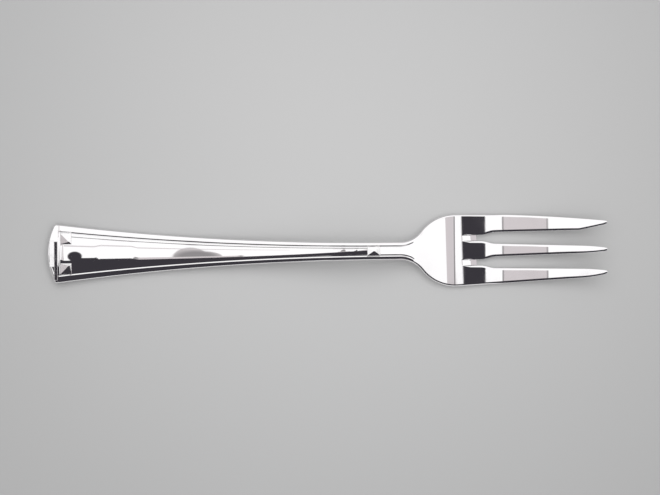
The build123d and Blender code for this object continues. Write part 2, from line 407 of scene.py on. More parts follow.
@dataclass(frozen=True)
class Ornament:
    """Relief of the handle's front: margin, border groove, band and crowned panel, in millimetres."""

    outline: Outline
    frame_end_at: float = 3.1
    frame_end_half: float = 5.85
    margin_neck: float = 1.2
    margin_slope: float = 0.14
    end_slope: float = 0.065
    end_fall: float = 0.05
    tab_half: float = 3.5
    groove_width: float = 0.62
    groove_depth: float = 0.11
    groove_fades: tuple[float, float] = (94.5, 98.5)
    band_end: float = 0.95
    band_neck: float = 0.35
    panel_end_at: float = 3.95
    panel_stop_at: float = 86.2
    cutting_sink: float = 0.034
    plain_sink: float = 0.001
    step_width: float = 0.17
    crown_end_radius: float = 60.0
    crown_neck_radius: float = 5.0
    crown_end_middle: float = -1.35
    crown_neck_middle: float = 0.35
    crown_fades: tuple[float, float] = (85.8, 89.2)
    swell: float = 0.38
    swell_grows: tuple[float, float] = (12.8, 13.8)
    swell_fades: tuple[float, float] = (22.4, 24.2)

    def fan(self, end_half: float, neck_half: float, station: np.ndarray) -> np.ndarray:
        """A line that fans out from the neck to the handle's end.

        Args:
            end_half: half-width at the frame's end.
            neck_half: half-width at the neck.
            station: stations along the fork.

        Returns:
            Half-widths at the stations.
        """
        reach = self.outline.neck_at - self.frame_end_at
        share = np.clip(self.outline.neck_at - station, 0.0, None) / reach
        return neck_half + (end_half - neck_half) * share**2

    def groove_line(self, station: np.ndarray) -> np.ndarray:
        """Line of the border groove, which follows the outline past the neck.

        Args:
            station: stations along the fork.

        Returns:
            Half-widths at the stations.
        """
        neck = self.outline.neck_half - self.margin_neck
        fanned = self.fan(self.frame_end_half, neck, station)
        beyond = self.outline.half(station, Side.PLAIN) - self.margin_neck
        return np.where(station < self.outline.neck_at, fanned, beyond)

    def panel_line(self, station: np.ndarray) -> np.ndarray:
        """Half-width of the sunk panel inside the band."""
        return self.groove_line(station) - self.fan(self.band_end, self.band_neck, station)

    def relief(self, station: np.ndarray, across: np.ndarray) -> np.ndarray:
        """Height of the ornament over the plain front.

        Args:
            station: stations along the fork.
            across: offsets from the middle.

        Returns:
            Heights, which come to zero on the head.
        """
        off = np.abs(across)
        beside = off - self.groove_line(station)
        beyond = self.frame_end_at - station
        border = np.maximum(beside, beyond)
        lip = self.groove_width / 2
        groove = np.where(np.abs(border) < lip, np.cos(math.pi * border / self.groove_width) ** 2, 0.0)
        side_margin = np.clip(beside - lip, 0.0, None) * self.margin_slope
        end_margin = np.clip(beyond - lip, 0.0, None) * self.end_slope
        past_tab = np.where(beyond > lip, np.clip(off - self.tab_half, 0.0, None) * self.end_fall, 0.0)
        margin = np.where(beside > beyond, side_margin, end_margin) + past_tab
        panel_line = self.panel_line(station)
        past_ends = np.maximum(self.panel_end_at - station, station - self.panel_stop_at)
        inside = np.maximum(off - panel_line, past_ends)
        aside = np.clip(across / panel_line, -1.0, 1.0)
        sink = self.plain_sink + (self.cutting_sink - self.plain_sink) * (1.0 + aside) / 2
        panel = sink * (1.0 - smoothstep(-self.step_width, 0.0, inside))
        fade = 1.0 - smoothstep(*self.groove_fades, station)
        return -fade * (self.groove_depth * groove + margin) - panel + self.crown(station, across)

    def crown(self, station: np.ndarray, across: np.ndarray) -> np.ndarray:
        """Height of the swelling between the grooves.

        It gets tighter towards the neck, and its middle moves over from the plain side to the cutting side.

        Args:
            station: stations along the fork.
            across: offsets from the middle.

        Returns:
            Heights, above zero in the middle and below it at the grooves.
        """
        line = self.groove_line(station)
        share = np.clip((station - self.frame_end_at) / (self.panel_stop_at - self.frame_end_at), 0.0, 1.0)
        radius = self.crown_end_radius + share * (self.crown_neck_radius - self.crown_end_radius)
        middle = self.crown_end_middle + share**2 * (self.crown_neck_middle - self.crown_end_middle)
        swell = smoothstep(*self.swell_grows, station) - smoothstep(*self.swell_fades, station)
        middle = middle + self.swell * swell
        fall = (np.clip(across, -line, line) - middle) ** 2 - line**2 / 2
        lip = self.groove_width / 2
        begun = smoothstep(self.frame_end_at - lip, self.frame_end_at + lip, station)
        calm = 1.0 - smoothstep(*self.crown_fades, station)
        return -begun * calm * fall / (2 * radius)


@dataclass
class MeshSheet:
    """Vertices with their own normals, and the faces between them, gathered for one mesh."""

    points: list[np.ndarray] = field(default_factory=list)
    normals: list[np.ndarray] = field(default_factory=list)
    quads: list[tuple[int, ...]] = field(default_factory=list)

    def add(self, points: np.ndarray, normals: np.ndarray) -> np.ndarray:
        """Adds vertices.

        Args:
            points: places in millimetres, three to a row.
            normals: directions to shade with, three to a row.

        Returns:
            The vertices' numbers.
        """
        first = sum(len(block) for block in self.points)
        self.points.append(points)
        self.normals.append(normals / np.linalg.norm(normals, axis=1, keepdims=True))
        return np.arange(first, first + len(points))

    def bridge(self, near: np.ndarray, far: np.ndarray, closed: bool) -> None:
        """Lays quads between two rows of vertices.

        Args:
            near: vertex numbers of the first row.
            far: vertex numbers of the second row.
            closed: whether the rows are rings.
        """
        count = len(near) if closed else len(near) - 1
        for here in range(count):
            there = (here + 1) % len(near)
            self.quads.append((int(near[here]), int(near[there]), int(far[there]), int(far[here])))

    def to_object(self, name: str) -> bpy.types.Object:
        """Makes the mesh object, smooth shaded with the vertices' own normals.

        Args:
            name: name of the object and its mesh.

        Returns:
            The object.
        """
        mesh = bpy.data.meshes.new(name)
        mesh.from_pydata((np.vstack(self.points) * MM).tolist(), [], self.quads)
        mesh.validate()
        mesh.shade_smooth()
        mesh.normals_split_custom_set_from_vertices(np.vstack(self.normals).tolist())
        made = bpy.data.objects.new(name, mesh)
        bpy.context.scene.collection.objects.link(made)
        return made


@dataclass
class ForkBlank:
    """The whole fork as one smooth skin: front and back joined by a rounded rim.

    All sizes are in millimetres.
    """

    outline: Outline = field(default_factory=Outline)
    front: SideLine = FRONT_LINE
    back: SideLine = BACK_LINE

    # Width of the rim in plan, and the stations or offsets where it changes
    edge_round: float = 0.44
    head_edge_round: float = 0.6
    end_edge_extra: float = 0.8
    end_edge_grows: tuple[float, float] = (3.2, 4.0)
    end_edge_fades: tuple[float, float] = (5.8, 7.2)
    outer_edge_grows: tuple[float, float] = (94.0, 100.0)
    slot_edge_grows: tuple[float, float] = (114.0, 122.0)
    tip_edge_fades: tuple[float, float] = (138.0, 148.5)

    # Section of the rim: a round on the handle, nearly a chamfer on the tines
    chamfer_grows: tuple[float, float] = (114.0, 124.0)
    chamfer_drop: float = 0.4
    chamfer_weight: float = 0.35
    least_weight: float = 0.05
    rim_steps: int = 6

    # Roots of the slots: how square they are, and the lead-in on the front
    root_square: tuple[float, float] = (0.1, 0.75)
    root_skew: float = 0.08
    root_scoop: float = 1.55
    root_drop: float = 0.7
    root_blend: float = 3.0
    root_lead: float = 0.1
    root_trail: float = 0.02
    slot_reach: float = 1.0
    slant_end: float = 123.0

    # Rows of vertices along the fork
    groove_rows: int = 5
    step_rows: tuple[float, ...] = (-0.25, 0.0, 0.5, 1.0)
    corner_shares: tuple[float, ...] = (0.5, 0.75, 1.0)
    panel_lead: float = 0.3
    handle_step: float = 0.9
    neck_rows_from: float = 80.0
    neck_step: float = 0.45
    plate_end: float = 110.6
    root_rows: int = 6
    tine_step: float = 0.6
    tip_rows: int = 6
    tip_turn_from: float = 0.2

    # Lanes of vertices across it, which change from the handle's to the head's at the neck
    handle_lanes: tuple[int, ...] = (4, 4, 2, 2, 8)
    lane_gap: float = 0.02
    head_lanes_grow: tuple[float, float] = (97.0, 107.0)
    outer_lanes: int = 10
    slot_lanes: int = 8
    middle_lanes: int = 4

    # Steps that slopes are measured over
    slope_step: float = 0.02
    edge_step: float = 0.01

    def __post_init__(self) -> None:
        """Works out the ornament and the lanes' limits from the outline."""
        self.ornament = Ornament(self.outline)
        first = self.outer_lanes
        second = first + self.slot_lanes
        third = second + self.middle_lanes
        fourth = third + self.slot_lanes
        self.lanes = (0, first, second, third, fourth, fourth + self.outer_lanes)
        self.tine_spans = tuple(zip(self.lanes[0::2], self.lanes[1::2]))

    def height(self, face: Face, station: np.ndarray, across: np.ndarray) -> np.ndarray:
        """Height of a face over the table.

        Args:
            face: front or back.
            station: stations along the fork.
            across: offsets from the middle.

        Returns:
            Heights in millimetres.
        """
        if face is Face.BACK:
            return self.back.height(station)
        return self.front.height(station) + self.ornament.relief(station, across)

    def slope(self, face: Face, station: np.ndarray, across: np.ndarray) -> tuple[np.ndarray, np.ndarray]:
        """Slopes of a face.

        Args:
            face: front or back.
            station: stations along the fork.
            across: offsets from the middle.

        Returns:
            Slopes along the fork, and slopes across it.
        """
        step = self.slope_step
        along = self.height(face, station + step, across) - self.height(face, station - step, across)
        over = self.height(face, station, across + step) - self.height(face, station, across - step)
        return along / (2 * step), over / (2 * step)

    def stations(self) -> tuple[np.ndarray, np.ndarray]:
        """Lays the rows of vertices out along the fork.

        Returns:
            Stations of the rows that cross the whole fork, and of those on the tines alone.
        """
        lines = self.ornament
        groove = lines.frame_end_at + np.linspace(-0.5, 0.5, self.groove_rows) * lines.groove_width
        panel = lines.panel_end_at + np.array(self.step_rows) * lines.step_width
        handle = np.arange(panel[-1] + self.panel_lead, self.neck_rows_from, self.handle_step)
        neck = np.arange(self.neck_rows_from, self.plate_end, self.neck_step)
        full = np.concatenate([groove, panel, handle, neck, [self.plate_end]])
        root = self.outline.slot_root_at + self.outline.slot_radius
        last = self.outline.length - 2 * self.outline.tip_round
        tines = np.linspace(root, last, int((last - root) / self.tine_step))[1:]
        return full, tines

    def handle_offsets(self, edge: float, station: float) -> np.ndarray:
        """Offsets of the lanes on the handle, laid along the lines of the ornament.

        Args:
            edge: offset where the flat of the front ends and the rim begins.
            station: station of the row.

        Returns:
            Offsets from the cutting side to the plain side.
        """
        at = np.array([station])
        lip = self.ornament.groove_width / 2
        line = float(self.ornament.groove_line(at)[0])
        step = float(self.ornament.panel_line(at)[0])
        step = min(step, line - lip - self.lane_gap)
        stops = [edge, line + lip, line - lip, step, step - self.ornament.step_width, 0.0]
        knots = [
            np.linspace(start, stop, count + 1)[:-1]
            for start, stop, count in zip(stops, stops[1:], self.handle_lanes)
        ]
        upper = np.concatenate([*knots, [0.0]])
        return np.concatenate([upper, -upper[-2::-1]])

    def head_offsets(self, upper: float, lower: float) -> np.ndarray:
        """Offsets of the lanes on the head, in line with the tines and slots.

        Args:
            upper: offset of the cutting side's edge.
            lower: offset of the plain side's edge.

        Returns:
            Offsets from the cutting side to the plain side.
        """
        reach = self.outline.slot_radius + self.edge_round
        centre = self.outline.slot_centre
        turn = np.sin(np.linspace(0.5, -0.5, self.slot_lanes + 1) * math.pi)
        first = centre + reach * turn
        second = -centre + reach * turn
        return np.concatenate(
            [
                np.linspace(upper, first[0], self.outer_lanes + 1)[:-1],
                first[:-1],
                np.linspace(first[-1], second[0], self.middle_lanes + 1)[:-1],
                second[:-1],
                np.linspace(second[-1], lower, self.outer_lanes + 1),
            ]
        )

    def side_edge_points(self, station: np.ndarray, side: Side) -> tuple[np.ndarray, np.ndarray]:
        """Points of the outer outline.

        Args:
            station: stations along the fork.
            side: the side to follow.

        Returns:
            Points, and their outward directions in plan.
        """
        half = self.outline.half(station, side)
        step = self.edge_step
        rise = self.outline.half(station + step, side) - self.outline.half(station - step, side)
        slope = rise / (2 * step)
        points = np.stack([station, side.value * half], axis=1)
        return points, self.outward(slope, side.value)

    def slot_edge_points(self, station: np.ndarray, lane: int) -> tuple[np.ndarray, np.ndarray]:
        """Points of a tine's edge along a slot, and their outward directions in plan.

        Args:
            station: stations along the fork.
            lane: which slot edge, counted from the cutting side: 1 to 4.

        Returns:
            Points, and directions that lead out of the metal into the slot.
        """
        side = Side.CUTTING if lane < 3 else Side.PLAIN
        along_middle = lane in (2, 3)

        def edge(at: np.ndarray) -> np.ndarray:
            """Offset of this edge from the middle."""
            return self.outline.slot_inner(at) if along_middle else self.outline.slot_edge(at, side)

        step = self.edge_step
        slope = (edge(station + step) - edge(station - step)) / (2 * step)
        points = np.stack([station, side.value * edge(station)], axis=1)
        directions = self.outward(slope, side.value)
        return points, directions if along_middle else -directions

    @staticmethod
    def outward(slope: np.ndarray, sign: int) -> np.ndarray:
        """Directions square to an edge of a given slope, away from the middle."""
        length = np.sqrt(1.0 + slope**2)
        return np.stack([-slope / length, sign / length], axis=1)

    def tip_points(self, lane_side: int, middle: float, turn: np.ndarray) -> tuple[np.ndarray, np.ndarray]:
        """Points round a corner of a tine's tip.

        Args:
            lane_side: 1 for the corner towards the cutting side, -1 for the other.
            middle: offset of the tip's middle.
            turn: angles from the tine's side to its end.

        Returns:
            Points, and their outward directions.
        """
        radius = self.outline.tip_round
        directions = np.stack([np.sin(turn), lane_side * np.cos(turn)], axis=1)
        across = middle + lane_side * (self.outline.tip_half - radius)
        centre = np.array([self.outline.length - radius, across])
        return centre + radius * directions, directions

    def edge_columns(self, face: Face) -> dict[int, tuple[np.ndarray, np.ndarray]]:
        """Follows the outline down each edge column, for the rows that it has.

        Args:
            face: front or back.

        Returns:
            Outline points and outward directions by lane.
        """
        full, tines = self.stations()
        root = self.outline.slot_root_at + self.outline.slot_radius
        between = np.linspace(self.plate_end, root, self.root_rows + 1)[1:]
        outer = np.concatenate([full, between, tines])
        shift = self.outline.slot_ramp if face is Face.BACK else 0.0
        lag = shift * (1.0 - smoothstep(root, self.slant_end, tines))
        inner = np.concatenate([[root + shift], tines + lag])
        turn = np.linspace(self.tip_turn_from, 0.5 * math.pi, self.tip_rows)
        tips = {0: self.outline.cutting_tip, 2: 0.0, 4: -self.outline.side_tip}
        columns = {}
        for lane, limit in enumerate(self.lanes):
            tine = 2 * (lane // 2)
            if lane in (0, 5):
                points, directions = self.side_edge_points(outer, Side.CUTTING if lane == 0 else Side.PLAIN)
            else:
                points, directions = self.slot_edge_points(inner, lane)
            end = self.tip_points(1 if lane % 2 == 0 else -1, tips[tine], turn)
            columns[limit] = (np.vstack([points, end[0]]), np.vstack([directions, end[1]]))
        return columns

    def rim_width(self, station: float, grows: tuple[float, float]) -> float:
        """Width of the rounded rim, which grows onto the head and narrows again to the tips.

        Args:
            station: station along the fork.
            grows: stations between which the rim widens.

        Returns:
            The rim's width in plan.
        """
        at = np.array(station)
        share = float(smoothstep(*grows, at) - smoothstep(*self.tip_edge_fades, at))
        return self.edge_round + share * (self.head_edge_round - self.edge_round)

    def end_points(self, offsets: np.ndarray) -> tuple[np.ndarray, np.ndarray]:
        """Points along the handle's end.

        Args:
            offsets: offsets from the middle.

        Returns:
            Points, and their outward directions.
        """
        centre, to_end, _ = self.outline.end_corner()
        radius = self.outline.end_radius
        tangent = centre + to_end * self.outline.corner_radius
        off = np.abs(offsets)
        run = np.clip(off, 0.0, radius)
        on_arc = np.stack([-np.sqrt(radius**2 - run**2), off], axis=1) / radius
        corner = self.outline.corner_radius
        rise = np.clip(off - centre[1], 0.0, corner)
        on_corner = np.stack([-np.sqrt(corner**2 - rise**2), rise], axis=1) / corner
        in_corner = (off > tangent[1])[:, None]
        arc_points = np.array([radius, 0.0]) + radius * on_arc
        corner_points = centre + corner * on_corner
        points = np.where(in_corner, corner_points, arc_points)
        directions = np.where(in_corner, on_corner, on_arc)
        sign = np.where(offsets < 0.0, -1.0, 1.0)[:, None]
        flip = np.hstack([np.ones_like(sign), sign])
        return points * flip, directions * flip

    def corner_points(self) -> tuple[np.ndarray, np.ndarray]:
        """Points from the middle of the cutting side's corner to where the side starts.

        Returns:
            Points, and their outward directions.
        """
        centre, to_end, to_side = self.outline.end_corner()
        start = math.atan2(to_end[1], to_end[0])
        stop = math.atan2(to_side[1], to_side[0])
        turn = start + (stop - start) * np.array(self.corner_shares)
        directions = np.stack([np.cos(turn), np.sin(turn)], axis=1)
        return centre + self.outline.corner_radius * directions, directions

    def plan(self, face: Face) -> tuple[np.ndarray, dict[tuple[int, int], tuple[np.ndarray, np.ndarray]]]:
        """Lays the grid of a face out in plan.

        Args:
            face: front or back.

        Returns:
            Plan points by row and lane, inside the rim, and for each vertex on the rim its point on
            the outline and its outward direction.
        """
        full, tines = self.stations()
        columns = self.edge_columns(face)
        corner, corner_out = self.corner_points()
        mirror = np.array([1.0, -1.0])
        lanes = self.lanes
        last = lanes[-1]
        head_rows = len(corner)
        full_rows = head_rows + len(full) + self.root_rows
        rows = full_rows + len(tines) + self.tip_rows
        grid = np.full((rows, last + 1, 2), np.nan)
        rim = {}
        for lane, flip in ((0, np.array([1.0, 1.0])), (last, mirror)):
            side_points, side_out = columns[lane]
            points = np.vstack([corner * flip, side_points])
            directions = np.vstack([corner_out * flip, side_out])
            for row in range(rows):
                rim[row, lane] = (points[row], directions[row])
                width = self.rim_width(points[row][0], self.outer_edge_grows)
                grid[row, lane] = points[row] - width * directions[row]
        for lane in lanes[1:-1]:
            points, directions = columns[lane]
            for index, row in enumerate(range(full_rows - 1, rows)):
                rim[row, lane] = (points[index], directions[index])
                width = self.rim_width(points[index][0], self.slot_edge_grows)
                grid[row, lane] = points[index] - width * directions[index]

        self.lay_handle_end(grid, rim, head_rows)
        root = full_rows - 1 - self.root_rows
        for row in range(head_rows, full_rows):
            upper, lower = grid[row, 0].copy(), grid[row, last].copy()
            on_handle = self.handle_offsets(min(upper[1], -lower[1]), float(upper[0]))
            on_handle[0], on_handle[-1] = upper[1], lower[1]
            on_head = self.head_offsets(upper[1], lower[1])
            share = float(smoothstep(*self.head_lanes_grow, upper[:1])[0])
            offsets = (1 - share) * on_handle + share * on_head
            along = (upper[1] - offsets) / (upper[1] - lower[1])
            stations = upper[0] + along * (lower[0] - upper[0])
            if row > root:
                stations = self.root_stations(face, offsets, (row - root) / self.root_rows)
            grid[row, :, 0] = stations
            grid[row, :, 1] = offsets
            grid[row, 0], grid[row, last] = upper, lower
        self.lay_slot_roots(face, grid, rim, full_rows - 1)
        for row in range(root + 1, full_rows - 1):
            share = (row - root) / self.root_rows
            for first in (lanes[1], lanes[3]):
                slot = slice(first, first + self.slot_lanes + 1)
                grid[row, slot] = (1 - share) * grid[root, slot] + share * grid[full_rows - 1, slot]
        for first, second in self.tine_spans:
            share = np.linspace(0.0, 1.0, second - first + 1)[:, None]
            for row in range(full_rows, rows):
                near, far = grid[row, first].copy(), grid[row, second].copy()
                grid[row, first : second + 1] = near + share * (far - near)
            for lane in range(first + 1, second):
                end = np.array([self.outline.length, 0.0])
                end[1] = grid[rows - 1, lane, 1]
                rim[rows - 1, lane] = (end, np.array([1.0, 0.0]))
        return grid, rim

    def lay_handle_end(self, grid: np.ndarray, rim: dict, rows: int) -> None:
        """Fills the rows between the round end and the first straight row.

        Args:
            grid: plan points, filled in place.
            rim: outline points and directions, filled in place.
            rows: how many rows the end has.
        """
        last = self.lanes[-1]
        station = float(grid[rows, 0, 0])
        offsets = self.handle_offsets(float(grid[rows, 0, 1]), station)
        points, directions = self.end_points(offsets * rim[0, 0][0][1] / offsets[0])
        plain_side = -points[:, 1]
        wide = smoothstep(*self.end_edge_grows, plain_side) - smoothstep(*self.end_edge_fades, plain_side)
        inner = points - (self.edge_round + self.end_edge_extra * wide)[:, None] * directions
        for lane in range(1, last):
            rim[0, lane] = (points[lane], directions[lane])
        for row in range(rows):
            upper, lower = grid[row, 0].copy(), grid[row, last].copy()
            share = row / rows
            grid[row, :, 0] = upper[0] + (1 - share) * (inner[:, 0] - inner[0, 0])
            grid[row, :, 1] = (1 - share) * inner[:, 1] + share * offsets
            grid[row, 0], grid[row, last] = upper, lower

    def root_stations(self, face: Face, offsets: np.ndarray, share: float) -> np.ndarray:
        """Stations of a row that bends from straight into the round roots of the slots.

        Args:
            face: front or back.
            offsets: offsets of the row's vertices.
            share: how far the row has come, 0 to 1.

        Returns:
            The row's stations.
        """
        reach = self.outline.slot_centre + self.outline.slot_radius + self.edge_round
        shift = self.outline.slot_ramp if face is Face.BACK else 0.0
        centre = self.outline.slot_root_at + self.outline.slot_radius
        moved = centre + shift * (1.0 - smoothstep(0.0, self.root_blend, np.abs(offsets) - reach))
        return self.plate_end + share * (moved - self.plate_end)

    def root_edge(self, turn: float) -> np.ndarray:
        """Point on a slot's squarish root.

        Args:
            turn: angle from the slot's middle line.

        Returns:
            The point from the root's centre, in shares of the slot's half-width.
        """
        open_side = max(math.cos(turn), 0.0) ** self.root_square[0]
        over = math.copysign(abs(math.sin(turn)) ** self.root_square[1], turn)
        return np.array([-open_side * (1.0 + self.root_skew * over), over])

    def lay_slot_roots(self, face: Face, grid: np.ndarray, rim: dict, row: int) -> None:
        """Sets the vertices round the slots' squarish roots, with the lead-in on the front.

        Args:
            face: front or back.
            grid: plan points, filled in place.
            rim: outline points and directions, filled in place.
            row: the last row that crosses the whole fork.
        """
        shift = self.outline.slot_ramp if face is Face.BACK else 0.0
        radius = self.outline.slot_radius
        lanes = self.lanes
        for first, middle in ((lanes[1], self.outline.slot_centre), (lanes[3], -self.outline.slot_centre)):
            centre = np.array([self.outline.slot_root_at + radius + shift, middle])
            for step in range(self.slot_lanes + 1):
                shape = self.root_edge((0.5 - step / self.slot_lanes) * math.pi)
                rim[row, first + step] = (centre + radius * shape, -shape)
                inset = (radius + self.edge_round) * shape
                if face is Face.FRONT and 0 < step < self.slot_lanes:
                    start = radius + self.root_scoop + self.root_skew * shape[1]
                    inset = np.array([-start, radius * shape[1]])
                grid[row, first + step] = centre + inset

    def ring(self, rows: int, full_rows: int) -> list[tuple[int, int]]:
        """Follows the rim once round the fork.

        Args:
            rows: how many rows the grid has.
            full_rows: how many of them cross the whole fork.

        Returns:
            Rows and lanes of the vertices along the rim.
        """
        lanes = self.lanes
        end, root = rows - 1, full_rows - 1
        around = [(row, lanes[0]) for row in range(rows)]
        for first, second in ((0, 1), (2, 3), (4, 5)):
            around += [(end, lane) for lane in range(lanes[first] + 1, lanes[second] + 1)]
            if second == 5:
                break
            around += [(row, lanes[second]) for row in range(end - 1, root - 1, -1)]
            around += [(root, lane) for lane in range(lanes[second] + 1, lanes[second + 1] + 1)]
            around += [(row, lanes[second + 1]) for row in range(root + 1, rows)]
        around += [(row, lanes[5]) for row in range(end - 1, -1, -1)]
        around += [(0, lane) for lane in range(lanes[5] - 1, 0, -1)]
        return around

    def lift(self, face: Face, plan: np.ndarray) -> np.ndarray:
        """Points of a face over a plan, with the origin at mid-length."""
        z = self.height(face, plan[:, 0], plan[:, 1])
        return np.stack([plan[:, 0] - self.outline.length / 2, plan[:, 1], z], axis=1)

    def lay_face(self, sheet: MeshSheet, face: Face, grid: np.ndarray, full_rows: int) -> np.ndarray:
        """Adds one face of the fork.

        Args:
            sheet: the mesh to add to.
            face: front or back.
            grid: plan points by row and lane.
            full_rows: how many rows cross the whole fork.

        Returns:
            Vertex numbers by row and lane, -1 where a slot is open.
        """
        numbers = np.full(grid.shape[:2], -1)
        there = ~np.isnan(grid[:, :, 0])
        plan = grid[there]
        along, over = self.slope(face, plan[:, 0], plan[:, 1])
        normals = np.stack([-along, -over, np.ones_like(along)], axis=1) * face.value
        numbers[there] = sheet.add(self.lift(face, plan), normals)
        step = 1 if face is Face.FRONT else -1
        for row in range(grid.shape[0] - 1):
            whole = row < full_rows - 1
            for first, second in [(0, self.lanes[-1])] if whole else self.tine_spans:
                near = numbers[row, first : second + 1][::step]
                far = numbers[row + 1, first : second + 1][::step]
                sheet.bridge(near, far, closed=False)
        return numbers

    def rim_rows(
        self, face: Face, grid: np.ndarray, rim: dict, around: list
    ) -> tuple[np.ndarray, np.ndarray]:
        """Finds where the rim of one face starts, and the sharp corner that it rounds off.

        Args:
            face: front or back.
            grid: plan points by row and lane.
            rim: outline points and directions by row and lane.
            around: rows and lanes along the rim.

        Returns:
            Corner points, and the inset points that the rim starts from.
        """
        inset = np.array([grid[spot] for spot in around])
        edge = np.array([rim[spot][0] for spot in around])
        along, over = self.slope(face, inset[:, 0], inset[:, 1])
        start = self.lift(face, inset)
        reach = edge - inset
        rise = along * reach[:, 0] + over * reach[:, 1]
        corner = np.stack([edge[:, 0] - self.outline.length / 2, edge[:, 1], start[:, 2] + rise], axis=1)
        return corner, start

    def lay_rim(self, sheet: MeshSheet, fronts: tuple, backs: tuple, rings: tuple) -> None:
        """Rounds the front's edge over into the wall, and the wall into the back.

        Args:
            sheet: the mesh to add to.
            fronts: corner and inset points of the front's rim.
            backs: corner and inset points of the back's rim.
            rings: vertex numbers round the front and round the back.
        """
        wall = backs[0] - fronts[0]
        wall /= np.linalg.norm(wall, axis=1, keepdims=True)
        rows = []
        slants = []
        for (corner, start), down in ((fronts, wall), (backs, -wall)):
            inward = start - corner
            size = np.linalg.norm(inward, axis=1, keepdims=True)
            cosine = np.sum(inward * down, axis=1, keepdims=True) / size
            weight = np.sqrt(np.clip((1.0 - cosine) / 2.0, self.least_weight, 1.0))
            if down is wall:
                station = corner[:, :1] + self.outline.length / 2
                root = self.outline.slot_root_at + self.outline.slot_radius
                in_slot = np.abs(corner[:, 1:2]) < self.outline.slot_outer + self.slot_reach
                past_root = station > self.outline.slot_root_at - self.root_lead
                share = smoothstep(*self.chamfer_grows, station)
                share = np.where(in_slot & past_root, 1.0, share)
                drop = np.where(station > root + self.root_trail, self.chamfer_drop, self.root_drop)
                stop = corner + down * size * (1.0 - share * (1.0 - drop))
                weight *= 1.0 - share * (1.0 - self.chamfer_weight)
            else:
                stop = corner + down * size
            shares = np.linspace(0.0, 1.0, self.rim_steps + 1)[1:]
            for share in shares if down is wall else shares[::-1]:
                keep, turn, go = (1 - share) ** 2, 2 * share * (1 - share) * weight, share**2
                total = keep + turn + go
                rows.append((keep * start + turn * corner + go * stop) / total)
                tangent = (1 - share) * weight * (corner - start) + share * weight * (stop - corner)
                tangent += share * (1 - share) * (stop - start) * (1 - weight)
                slants.append(tangent if down is wall else -tangent)
        near = rings[0]
        for points, slant in zip(rows, slants):
            forward = np.roll(points, -1, axis=0) - np.roll(points, 1, axis=0)
            number = sheet.add(points, np.cross(slant, forward) * -1.0)
            sheet.bridge(near, number, closed=True)
            near = number
        sheet.bridge(near, rings[1], closed=True)

    def build(self) -> bpy.types.Object:
        """Builds the fork's skin.

        Returns:
            The mesh object, named for the whole fork.
        """
        sheet = MeshSheet()
        full, _ = self.stations()
        front_grid, front_rim = self.plan(Face.FRONT)
        back_grid, back_rim = self.plan(Face.BACK)
        full_rows = len(self.corner_points()[0]) + len(full) + self.root_rows
        around = self.ring(front_grid.shape[0], full_rows)
        front_numbers = self.lay_face(sheet, Face.FRONT, front_grid, full_rows)
        back_numbers = self.lay_face(sheet, Face.BACK, back_grid, full_rows)
        fronts = self.rim_rows(Face.FRONT, front_grid, front_rim, around)
        backs = self.rim_rows(Face.BACK, back_grid, back_rim, around)
        rings = tuple(
            np.array([numbers[spot] for spot in around]) for numbers in (front_numbers, back_numbers)
        )
        self.lay_rim(sheet, fronts, backs, rings)
        return sheet.to_object("fork_skin")


@dataclass
class RaisedBlock:
    """A low block coined up out of the handle's front: a wall all round, then a hipped or flat top."""

    name: str
    station: float
    across: float
    length: float
    width: float
    wall: float
    rise: float = 0.0
    peak: tuple[float, float] = (0.0, 0.0)
    lean: float = 0.0
    seat: float = 0.5
    soften: float = 0.07
    soften_steps: int = 3
    draft: float = 0.1
    slope_reach: float = 0.1

    def build(self, blank: ForkBlank) -> bpy.types.Object:
        """Builds the block, seated on the front and leaning with it.

        Args:
            blank: the fork that carries it.

        Returns:
            The mesh object.
        """
        form = bmesh.new()
        rings = []
        for height, grow in ((-self.seat, self.draft), (self.wall, 0.0)):
            half_length, half_width = self.length / 2 + grow, self.width / 2 + grow
            corners = ((-1, -1), (1, -1), (1, 1), (-1, 1))
            rings.append([form.verts.new((x * half_length, y * half_width, height)) for x, y in corners])
        form.faces.new(rings[0][::-1])
        for here in range(4):
            there = (here + 1) % 4
            form.faces.new((rings[0][here], rings[0][there], rings[1][there], rings[1][here]))
        if self.rise > 0.0:
            peak = (self.peak[0] * self.length / 2, self.peak[1] * self.width / 2)
            apex = form.verts.new((*peak, self.wall + self.rise))
            for here in range(4):
                form.faces.new((rings[1][here], rings[1][(here + 1) % 4], apex))
        else:
            form.faces.new(rings[1])
        bmesh.ops.bevel(
            form,
            geom=list(form.edges),
            offset=self.soften,
            segments=self.soften_steps,
            profile=0.5,
            affect="EDGES",
            clamp_overlap=True,
        )
        mesh = bpy.data.meshes.new(self.name)
        self.seat_on(form, blank)
        form.to_mesh(mesh)
        form.free()
        made = bpy.data.objects.new(self.name, mesh)
        bpy.context.scene.collection.objects.link(made)
        return made

    def seat_on(self, form: bmesh.types.BMesh, blank: ForkBlank) -> None:
        """Moves the block to its place and turns it square to the front there.

        Args:
            form: the block, moved in place.
            blank: the fork that carries it.
        """
        reach = self.slope_reach
        heights = blank.front.height(self.station + reach * np.array([-1.0, 0.0, 1.0]))
        slope = float(heights[2] - heights[0]) / (2 * reach) + self.lean
        turn = Matrix.Rotation(-math.atan(slope), 4, "Y")
        place = Matrix.Translation((self.station - blank.outline.length / 2, self.across, float(heights[1])))
        bmesh.ops.transform(form, matrix=Matrix.Scale(MM, 4) @ place @ turn, verts=form.verts)


